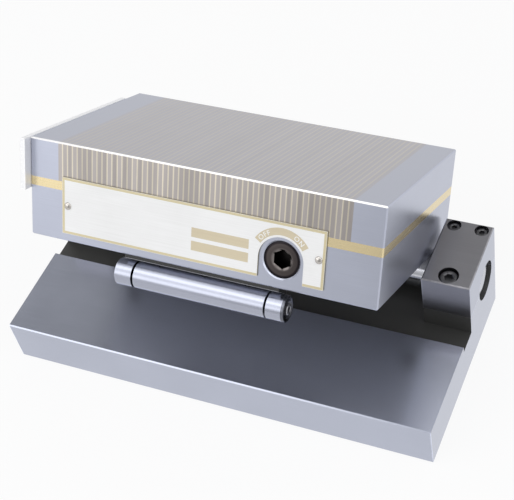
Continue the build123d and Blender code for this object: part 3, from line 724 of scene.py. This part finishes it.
def paint_top_reflection_and_rim_highlight(tree, shader, place, colour, share):
    """A painted reflection over the ground top, and a painted highlight on the broken edge in front of
    it.
    """
    _, y, z = wire(tree, "ShaderNodeSeparateXYZ", {0: place}).outputs
    top = math_node(tree, "GREATER_THAN", z, pack_high[2] - mask_margin)
    repaint(tree, shader, math_node(tree, "MULTIPLY", top, share), colour)
    # Painted highlight along the broken front top edge.
    high = math_node(tree, "GREATER_THAN", z, pack_high[2] - rim_highlight_width)
    front = math_node(tree, "LESS_THAN", y, pack_low[1] + rim_highlight_width)
    rim = math_node(tree, "MULTIPLY", math_node(tree, "MULTIPLY", high, front), rim_highlight_share)
    repaint(tree, shader, rim, painted_rim_highlight)


def body_finish():
    """Ground steel all round, duller underneath."""
    material, tree, shader, place = steel("body_ground", chuck_colour, 0.3, True, relief=0.1)
    z = wire(tree, "ShaderNodeSeparateXYZ", {0: place}).outputs[2]
    below = math_node(tree, "LESS_THAN", z, pack_low[2] + mask_margin)
    dull_area(tree, shader, below, underside_colour, underside_roughness)
    return material


def block_finish():
    """Ground steel, with a darker painted reflection over the top and a painted highlight on the front
    top edge.
    """
    material, tree, shader, place = steel("block_ground", chuck_colour, 0.3, True, relief=0.1)
    paint_top_reflection_and_rim_highlight(tree, shader, place, painted_top_reflection, block_top_reflection_share)
    return material


dress("chuck_body", body_finish())
block_steel = block_finish()
for block in ("end_block_left", "end_block_right"):
    dress(block, block_steel)

# Pole laminations and brass strips: steel plates parted by brass, brazed and
# ground level. Each strip's tone varies a little at random, and a painted
# reflection over the ground top hides the brass there, more at the left end
# than at the right.
strip_pitch = 2.6 * mm
streak_scale = (900.0, 60.0, 60.0)
chance_share = 0.6
streak_share = 0.4
# Painted reflection: how much the top tone covers the strips at each end.
top_reflection_left = 0.93
top_reflection_right = 0.72


def strip_metal(name, top, side, swing, roughness):
    """Metal whose tone changes at random from strip to strip, with a painted reflection in one colour on
    top, its own colour at the sides and a painted highlight on the front top edge.
    """
    material, tree, shader, place = steel(name, side, roughness, True, relief=0.1)
    x = wire(tree, "ShaderNodeSeparateXYZ", {0: place}).outputs[0]
    number = math_node(tree, "FLOOR", math_node(tree, "DIVIDE", x, strip_pitch))
    chance = wire(tree, "ShaderNodeTexWhiteNoise", {"W": number}, noise_dimensions="1D").outputs[0]
    drawn = wire(
        tree, "ShaderNodeVectorMath", {0: place, 1: streak_scale}, operation="MULTIPLY"
    ).outputs[0]
    streaks = wire(tree, "ShaderNodeTexNoise", {"Vector": drawn, "Scale": 1.0, "Detail": 2.0}).outputs[0]
    streaks = math_node(tree, "MULTIPLY", streaks, streak_share)
    uneven = math_node(tree, "MULTIPLY_ADD", chance, chance_share, streaks)
    dark = [channel * (1 - swing) for channel in side]
    light = [min(1.0, channel * (1 + swing)) for channel in side]
    tree.links.new(blend_colours(tree, uneven, dark, light), shader.inputs["Base Color"])
    # Painted reflection: the top tone covers the strips more at the left end than at the right.
    share = spread(tree, x, pack_low[0], pack_high[0], top_reflection_left, top_reflection_right)
    paint_top_reflection_and_rim_highlight(tree, shader, place, top, share)
    return material


lamination_steel = strip_metal("pole_steel", (0.395, 0.39, 0.43), (0.41, 0.38, 0.37), 0.2, 0.3)
strip_brass = strip_metal("strip_brass", (0.435, 0.415, 0.39), (0.62, 0.57, 0.47), 0.3, 0.3)
dress("pole_laminations", lamination_steel)
dress("brass_strips", strip_brass)

# Brass separator and slide strips: a brass frame between body and top plate,
# and two strips that the carriage runs on.
brass = steel("separator_brass", (0.78, 0.655, 0.40), 0.26, True, relief=0.1, swing=0.14)[0]
dress("brass_separator", brass)
dress("slide_strips", brass)

# Side stop: a pale satin plate on the left end, held by two screws on
# washers through upright slots.
stop_metallic = 0.4
stop_satin, _, stop_shader, _ = steel(
    "stop_satin", (0.90, 0.905, 0.93), 0.42, True, relief=0.05, box=local_box("side_stop")
)
stop_shader.inputs["Metallic"].default_value = stop_metallic
dress("side_stop", stop_satin)
washer_steel = steel("washer_bright", (0.62, 0.63, 0.66), 0.28)[0]
smooth_copy("side_stop_washers", washer_steel, "chuck", turned=False)


def stop_screws():
    """The two screws that look out of the chuck's left end."""
    node = "side_stop_screws"
    low, high = local_box(node)
    head = medium_screw["head"]
    seat = low[0] + medium_screw["height"]
    up = (low[2] + high[2]) / 2
    skins = [
        socket_screw(in_chuck(seat, back, up), -right, chuck_back, high[0] - seat, **medium_screw)
        for back in (low[1] + head, high[1] - head)
    ]
    make_piece(node + "_knurled", skins, screw_black, "chuck", [node])


stop_screws()

# Sine roller and collars: fine ground round bar with a ring of the same size
# at each end, held by a screw. Painted shade darkens the grooves, the end
# faces and the right ring's outer end. Three screws from below hold the
# roller in its saddle.
roller_colour = (0.405, 0.423, 0.50)
# Painted shade for the grooves, the end faces and the right collar's outer end.
painted_groove_shade = (0.035, 0.035, 0.038)
roller_groove = 0.3 * mm
collar_shade_width = 1.3 * mm
groove_shade_share = 0.85
end_shade_share = 0.8
end_screw_grip = 5.0 * mm


def turned_finish(name, node, shaded_end):
    """Fine ground steel, with painted shade in its grooves and on its end faces and, on the right
    collar, painted shade along its outer end.
    """
    material, tree, shader, place = steel(
        name, roller_colour, 0.25, True, relief=0.012, length=0.0003, width=0.01
    )
    low, high = local_box(node)
    offset = wire(
        tree, "ShaderNodeVectorMath", {0: place, 1: (low + high) / 2}, operation="SUBTRACT"
    ).outputs[0]
    x = wire(tree, "ShaderNodeSeparateXYZ", {0: place}).outputs[0]
    across = wire(
        tree, "ShaderNodeVectorMath", {0: offset, 1: (0.0, 1.0, 1.0)}, operation="MULTIPLY"
    ).outputs[0]
    reach = wire(tree, "ShaderNodeVectorMath", {0: across}, operation="LENGTH").outputs["Value"]
    # Painted shade below the round surface: the grooves and the end faces.
    dark = math_node(tree, "LESS_THAN", reach, (high[2] - low[2]) / 2 - roller_groove)
    # Painted shade along the right collar's outer end.
    if shaded_end:
        outer = math_node(tree, "GREATER_THAN", math_node(tree, "ABSOLUTE", x), shaded_end)
        dark = math_node(tree, "MAXIMUM", dark, math_node(tree, "MULTIPLY", outer, end_shade_share))
    repaint(tree, shader, math_node(tree, "MULTIPLY", dark, groove_shade_share), painted_groove_shade)
    return material


for turned in ("sine_roller", "roller_collar_left", "roller_collar_right"):
    shaded_end = 0.0
    if turned == "roller_collar_right":
        shaded_end = local_box(turned)[1][0] - collar_shade_width
    finish = turned_finish(turned + "_ground", turned, shaded_end)
    smooth_copy(turned, finish, "chuck")


def collar_screws():
    """One screw in each collar, looking out along the roller."""
    node = "roller_end_screws"
    low, high = local_box(node)
    back, up = (low[1] + high[1]) / 2, (low[2] + high[2]) / 2
    height = small_screw["height"]
    reach = local_box("sine_roller")[1][0] - local_box("sine_roller")[0][0]
    middle = (low[0] + high[0]) / 2
    length = (high[0] - low[0]) / 2 - height - reach / 2 + end_screw_grip
    skins = [
        socket_screw(
            in_chuck(middle + side * ((high[0] - low[0]) / 2 - height), back, up),
            side * right,
            chuck_back,
            length,
            **small_screw,
        )
        for side in (-1, 1)
    ]
    make_piece(node + "_knurled", skins, screw_grey, "chuck", [node])


screw_grey = steel("screw_grey", (0.36, 0.36, 0.38), 0.34, relief=0.2, length=0.002)[0]
collar_screws()
chuck_screws("sine_roller_screws", small_screw, 3, 1)

# Switching shaft: browned steel that turns in the front wall. The socket
# head's rim and hexagon are chamfered, and an eccentric pin reaches back
# into the carriage. A rubber ring seals it and a spring ring keeps it in.
key_head = 8.6 * mm
key_journal = 5.8 * mm
key_flats = 8.0 * mm
seal_depth = 3.5 * mm
seal_half = 0.75 * mm
seal_floor = 7.05 * mm
head_length = 7.0 * mm
ring_place = 11.25 * mm
ring_floor = 5.2 * mm
journal_length = 13.35 * mm
pin_radius = 3.2 * mm
pin_length = 8.0 * mm
pin_throw = 2.0 * mm
hexagon_depth = 6.0 * mm
rim_round = 0.6 * mm
ring_width = 1.0 * mm
countersink = 0.55 * mm
socket_mouth = 0.62
rubbed_colour, rubbed_share = (0.34, 0.31, 0.30), 0.4
rubbed_inside, rubbed_outside = 0.56 * key_flats, 0.7 * key_flats
# Painted shade: a dark ring on the rim's bevel.
rim_shade_colour, rim_shade_share = (0.012, 0.010, 0.014), 0.8
rim_shade_inside, rim_shade_outside = key_head - 1.4 * mm, key_head - 0.9 * mm
# Painted shade: black deep in the socket.
socket_shade_colour, socket_shade_share = (0.004, 0.004, 0.004), 0.95


def switching_shaft():
    """Rings from the hexagon's floor out over the face and rim, and back to the end of the pin."""
    turn = np.linspace(0, pi / 2, 5)
    socket = hexagon(key_flats, pi / 6)
    heights = [-hexagon_depth, -countersink, 0.0, *(rim_round * (np.cos(turn) - 1))]
    radii = [socket, socket, key_flats * socket_mouth, *(key_head + rim_round * (np.sin(turn) - 1))]
    heights += [seal_half - seal_depth] * 2 + [-seal_half - seal_depth] * 2 + [-head_length] * 2
    radii += [key_head, seal_floor, seal_floor, key_head, key_head, key_journal]
    heights += [-ring_place] * 2 + [-ring_place - ring_width] * 2 + [-journal_length] * 2
    radii += [key_journal, ring_floor, ring_floor, key_journal, key_journal, pin_radius]
    heights += [rim_round - journal_length - pin_length, -journal_length - pin_length]
    radii += [pin_radius, pin_radius - rim_round]
    shifts = np.zeros(len(heights))
    shifts[-3:] = -pin_throw
    face = np.array(joints["switch_turn"]["pos_m"])
    return closed_skin(ring_skin(face, -chuck_back, right, heights, radii, shifts))


def browned_finish():
    """Browned steel, rubbed lighter round the hexagon, with painted shade darkening the rim's bevel and
    painted shade blackening the socket.
    """
    material, tree, shader, place = steel(
        "shaft_browned", (0.078, 0.067, 0.066), 0.32, True, relief=0.15
    )
    offset = wire(
        tree, "ShaderNodeVectorMath", {0: place, 1: (key_x, 0.0, key_up)}, operation="SUBTRACT"
    ).outputs[0]
    flat = wire(
        tree, "ShaderNodeVectorMath", {0: offset, 1: (1.0, 0.0, 1.0)}, operation="MULTIPLY"
    ).outputs[0]
    radius = wire(tree, "ShaderNodeVectorMath", {0: flat}, operation="LENGTH").outputs["Value"]
    inner = math_node(
        tree, "SUBTRACT", 1.0, spread(tree, radius, rubbed_inside, rubbed_outside, 0.0, 1.0)
    )
    outer = spread(tree, radius, rim_shade_inside, rim_shade_outside, 0.0, 1.0)
    depth = wire(tree, "ShaderNodeSeparateXYZ", {0: place}).outputs[1]
    shaded_socket = math_node(tree, "GREATER_THAN", depth, key_face + countersink + mask_margin)
    repaint(tree, shader, math_node(tree, "MULTIPLY", inner, rubbed_share), rubbed_colour)
    # Painted shade on the rim's bevel.
    repaint(tree, shader, math_node(tree, "MULTIPLY", outer, rim_shade_share), rim_shade_colour)
    # Painted shade deep in the socket.
    repaint(tree, shader, math_node(tree, "MULTIPLY", shaded_socket, socket_shade_share), socket_shade_colour)
    return material


key_place = np.array(joints["switch_turn"]["pos_m"]) - hinge
key_x = float(key_place @ right)
key_up = float(key_place @ chuck_up)
key_face = float(key_place @ chuck_back)
browned = browned_finish()
make_piece(
    "switch_shaft_chamfered", [switching_shaft()], browned, "switch", ["switch_shaft"]
)
dress("retaining_ring", screw_black)


def dull_material(name, colour, roughness):
    """A plain dull material with slow patches."""
    material, _, shader, _ = steel(name, colour, roughness, True, relief=0.3, length=0.002, width=0.002)
    shader.inputs["Metallic"].default_value = 0.0
    return material


dress("shaft_seal", dull_material("seal_rubber", (0.02, 0.02, 0.02), 0.7))

# Magnet carriage: a milled aluminium tray with ceramic magnets between steel
# pole bars, which slides on the strips inside the body.
dress("magnet_carriage", steel("carriage_milled", (0.62, 0.62, 0.63), 0.38, True, width=0.0008)[0])
dress("pole_bars", steel("bar_ground", (0.46, 0.46, 0.48), 0.32, True)[0])
dress("magnets", dull_material("magnet_ceramic", (0.05, 0.05, 0.055), 0.7))

# Nameplate: a thin white plate on the chuck's front, with a gold border, two
# bare fields and a band round the key for its two ends of travel.
plate_low, plate_high = local_box("nameplate")
plate_face = plate_low[1]
film = 0.03 * mm
border_width = 1.15 * mm
border_inset = 0.12 * mm
arch_radius = 10.9 * mm
arch_points = 48
field_left = -2.7 * mm
field_right = 25.6 * mm
field_heights = (22.65 * mm, 29.05 * mm)
field_size = 4.5 * mm
band_inner = 11.9 * mm
band_outer = 15.3 * mm
band_ends = (radians(34), radians(147))
# Dull brass on the plate's bare edges, darkened further by painted shade.
plate_edge_brass_and_shade = (0.30, 0.26, 0.16)


def ribbon(path, half_width):
    """A flat film along a path on the plate.

    Each path point p has a mitred normal n = (n1 + n2) / (1 + n1.n2), and the section's corners
    are p + or - w n, on the plate's face and one film's thickness above it.
    """
    before = np.vstack([2 * path[0] - path[1], path[:-1]])
    after = np.vstack([path[1:], 2 * path[-1] - path[-2]])
    sides = []
    for start, stop in ((before, path), (path, after)):
        step = stop - start
        step = step / np.linalg.norm(step, axis=1)[:, None]
        sides.append(np.stack([-step[:, 1], step[:, 0]], 1))
    normal = (sides[0] + sides[1]) / (1 + (sides[0] * sides[1]).sum(1))[:, None]
    corners = []
    for offset, height in ((-1, 0), (1, 0), (1, 1), (-1, 1)):
        flat = path + offset * half_width * normal
        lift = np.full(len(path), plate_face - height * film)
        corners.append(hinge + flat[:, :1] * right + lift[:, None] * chuck_back + flat[:, 1:] * chuck_up)
    points = np.stack(corners, 1)
    count = len(path)
    row = np.arange(count - 1)[:, None] * 4
    here = np.arange(4)
    beside = (here + 1) % 4
    quads = np.stack([row + here, row + beside, row + 4 + beside, row + 4 + here], -1).reshape(-1, 4)
    faces = quads.tolist() + [[3, 2, 1, 0], [count * 4 - 4 + index for index in range(4)]]
    points = points.reshape(-1, 3)
    return points, outward_faces(points, np.array(faces), faces)


def print_material(name, colour, roughness=0.34, metallic=0.0):
    """Printed ink or plated metal with a slight unevenness."""
    material, _, shader, _ = steel(name, colour, roughness, True, relief=0.04, swing=0.12, width=0.0005)
    shader.inputs["Metallic"].default_value = metallic
    return material


def arc(radius, start, stop, count):
    """Points round the key: (x + r cos a, z + r sin a) for a from start to stop."""
    turn = np.linspace(start, stop, count)
    return np.stack([key_x + radius * np.cos(turn), key_up + radius * np.sin(turn)], 1)


def border_path():
    """The plate's outline, inset by half the border, from one leg of the arch round to the other."""
    inset = border_inset + border_width / 2
    left, base = plate_low[0] + inset, plate_low[2] + inset
    right_end, top = plate_high[0] - inset, plate_high[2] - inset
    reach = arch_radius + border_inset
    corners = [(key_x - reach, base), (left, base), (left, top), (right_end, top), (right_end, base)]
    return np.array([*corners, (key_x + reach, base)])


def print_piece(name, skins, material):
    """A printed film on the nameplate."""
    return make_piece(name, skins, material, "chuck")


def plate_finish():
    """A white front on a plate whose bare edges are dull brass, darkened further with painted shade."""
    material, tree, shader, place = steel(
        "plate_white", (0.91, 0.905, 0.89), 0.3, True, relief=0.02, width=0.0005
    )
    shader.inputs["Metallic"].default_value = 0.0
    depth = wire(tree, "ShaderNodeSeparateXYZ", {0: place}).outputs[1]
    edge = math_node(tree, "GREATER_THAN", depth, plate_face + mask_margin)
    # Dull brass with painted shade on the bare edges.
    repaint(tree, shader, edge, plate_edge_brass_and_shade)
    return material


dress("nameplate", plate_finish())
gold = print_material("plate_gold", (0.68, 0.60, 0.39), 0.3, 0.3)
tan_ink = print_material("plate_tan", (0.66, 0.575, 0.41), 0.42)
white_ink = print_material("plate_letters", (0.93, 0.925, 0.90), 0.4)
print_piece("nameplate_border", [ribbon(border_path(), border_width / 2)], gold)
fields = [
    ribbon(np.array([(field_left, height), (field_right, height)]), field_size / 2)
    for height in field_heights
]
print_piece("nameplate_fields", fields, tan_ink)
band_middle = (band_inner + band_outer) / 2
band = ribbon(arc(band_middle, *band_ends, arch_points), (band_outer - band_inner) / 2)
print_piece("nameplate_band", [band], tan_ink)

# Switch letters: OFF and ON in white on the band, bent round the key.
letter_size = 3.2 * mm
letter_spacing = 1.22
letter_height = 0.7
letter_places = {"OFF": radians(129), "ON": radians(53)}


def switch_word(word, middle):
    """A word bent to the band: x becomes the angle back from the middle, y the radius."""
    curve = bpy.data.curves.new(word, "FONT")
    curve.body = word
    curve.size = letter_size
    curve.extrude = film / 2
    curve.offset = 0.03 * mm
    curve.align_x = "CENTER"
    curve.space_character = letter_spacing
    sign = bpy.data.objects.new(word, curve)
    bpy.context.scene.collection.objects.link(sign)
    mesh = bpy.data.meshes.new_from_object(sign)
    bpy.data.objects.remove(sign)
    flat = np.empty(len(mesh.vertices) * 3)
    mesh.vertices.foreach_get("co", flat)
    x, y, z = flat.reshape(-1, 3).T
    radius = band_middle + y - letter_size * letter_height / 2
    turn = middle - x / band_middle
    lift = plate_face - film - (z + film / 2)
    places = (
        hinge
        + (key_x + radius * np.cos(turn))[:, None] * right
        + lift[:, None] * chuck_back
        + (key_up + radius * np.sin(turn))[:, None] * chuck_up
    )
    mesh.vertices.foreach_set("co", places.ravel())
    mesh.materials.clear()
    return finish_piece("switch_word_" + word.lower(), mesh, white_ink, "chuck", (), 30)


for word, place in letter_places.items():
    switch_word(word, place)

# Nameplate rivets: round head drive rivets, one at each end of the plate.
rivet_head = 1.8 * mm
rivet_rise = 0.9 * mm
rivet_shank = 1.0 * mm


def rivets():
    """Domes r = R sin t, h = H cos t on the plate, over a plain shank."""
    low, high = local_box("nameplate_rivets")
    turn = np.linspace(0.08, pi / 2, 9)
    depth = high[1] - plate_face
    heights = [*(rivet_rise * np.cos(turn)), 0.0, -depth]
    radii = [*(rivet_head * np.sin(turn)), rivet_shank, rivet_shank]
    return [
        closed_skin(
            ring_skin(
                in_chuck(x, plate_face, (low[2] + high[2]) / 2), -chuck_back, right, heights, radii
            )
        )
        for x in (low[0] + rivet_head, high[0] - rivet_head)
    ]


rivet_metal = steel("rivet_metal", (0.50, 0.475, 0.45), 0.2, True, relief=0.1)[0]
make_piece("nameplate_rivets_domed", rivets(), rivet_metal, "chuck", ["nameplate_rivets"])
